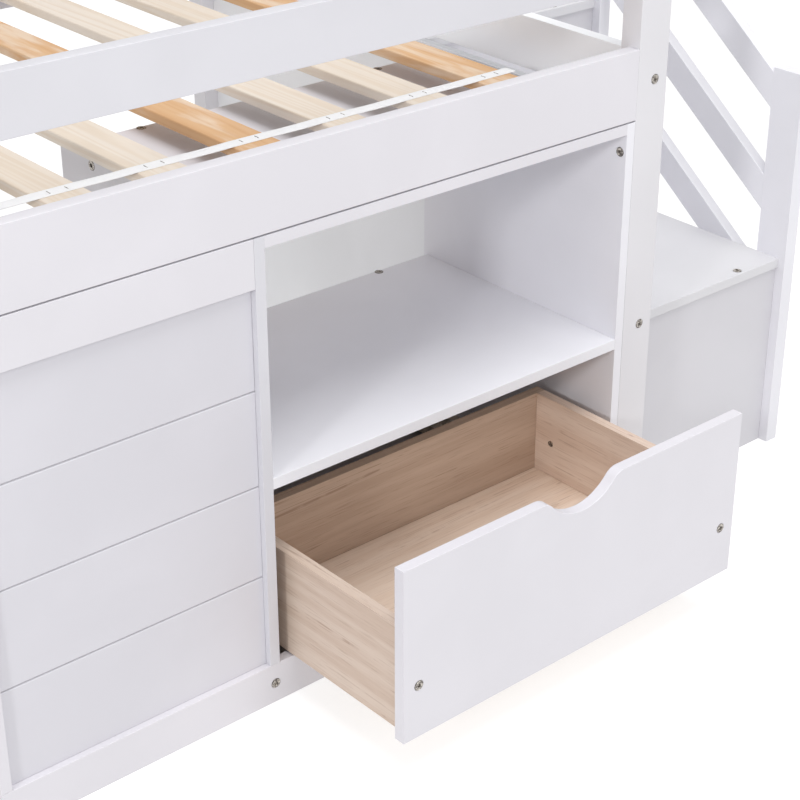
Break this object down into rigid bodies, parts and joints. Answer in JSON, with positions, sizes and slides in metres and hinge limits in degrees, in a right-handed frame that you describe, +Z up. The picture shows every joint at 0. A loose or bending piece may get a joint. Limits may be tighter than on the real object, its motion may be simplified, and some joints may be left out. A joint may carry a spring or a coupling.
{
  "type": "low loft bed with stairs",
  "caption": "Low loft bed in white boards with slats, guard boards, a shelf, a drawer that slides, a grooved panel and a stair with a slanted handrail at one end.",
  "frame": {"origin": "on the floor, in the middle of the footprint with the drawer open as in the picture and the stair included", "axes": "+X along the bed towards the stair end, +Y from the drawer's side to the back, +Z up"},
  "size_m": [2.4094, 1.2856, 1.1],
  "materials": {
    "white_board": "satin white paint on board",
    "oak_board": "matt oak-grain facing",
    "warm_pine": "unfinished pine, orange tone",
    "pale_pine": "unfinished pine, pale",
    "white_tape": "woven tape",
    "aged_brass": "antique brass bolt heads and barrel nuts"
  },
  "bodies": {
    "frame": {"front_left_post": "white_board", "back_left_post": "white_board", "front_right_post": "white_board", "back_right_post": "white_board", "front_side_rail": "white_board", "back_side_rail": "white_board", "front_lower_guard": "white_board", "back_lower_guard": "white_board", "front_upper_guard": "white_board", "back_upper_guard": "white_board", "right_end_board": "white_board", "left_end_board": "white_board", "left_end_lower_guard": "white_board", "left_end_upper_guard": "white_board", "front_slat_ledger": "white_board", "back_slat_ledger": "white_board", "cabinet_left_side": "white_board", "cabinet_right_side": "white_board", "cabinet_top": "white_board", "cabinet_shelf": "white_board", "cabinet_lower_back": "white_board", "cabinet_back_rail": "white_board", "base_rail": "white_board", "bay_stile": "white_board", "bay_header": "white_board", "grooved_panel": "white_board", "stair_inner_side": "white_board", "stair_outer_side": "white_board", "stair_lower_riser": "white_board", "stair_upper_riser": "white_board", "stair_lower_tread": "white_board", "stair_landing": "white_board", "front_newel": "white_board", "rear_newel": "white_board", "upper_handrail": "white_board", "middle_handrail": "white_board", "lower_handrail": "white_board", "slat_01": "warm_pine", "slat_02": "pale_pine", "slat_03": "pale_pine", "slat_04": "warm_pine", "slat_05": "pale_pine", "slat_06": "pale_pine", "slat_07": "warm_pine", "slat_08": "pale_pine", "slat_09": "pale_pine", "slat_10": "warm_pine", "slat_11": "pale_pine", "slat_12": "pale_pine", "slat_13": "warm_pine", "drawer_runner_left": "pale_pine", "drawer_runner_right": "pale_pine", "front_slat_tape": "white_tape", "back_slat_tape": "white_tape"},
    "drawer": {"drawer_front": "white_board", "drawer_left_side": "oak_board", "drawer_right_side": "oak_board", "drawer_back": "oak_board", "drawer_floor": "oak_board"}
  },
  "joints": [
    {"name": "drawer_slide", "type": "slide", "parent": "frame", "child": "drawer", "axis": [0, -1, 0], "range_m": [-0.2405, 0.05]}
  ]
}
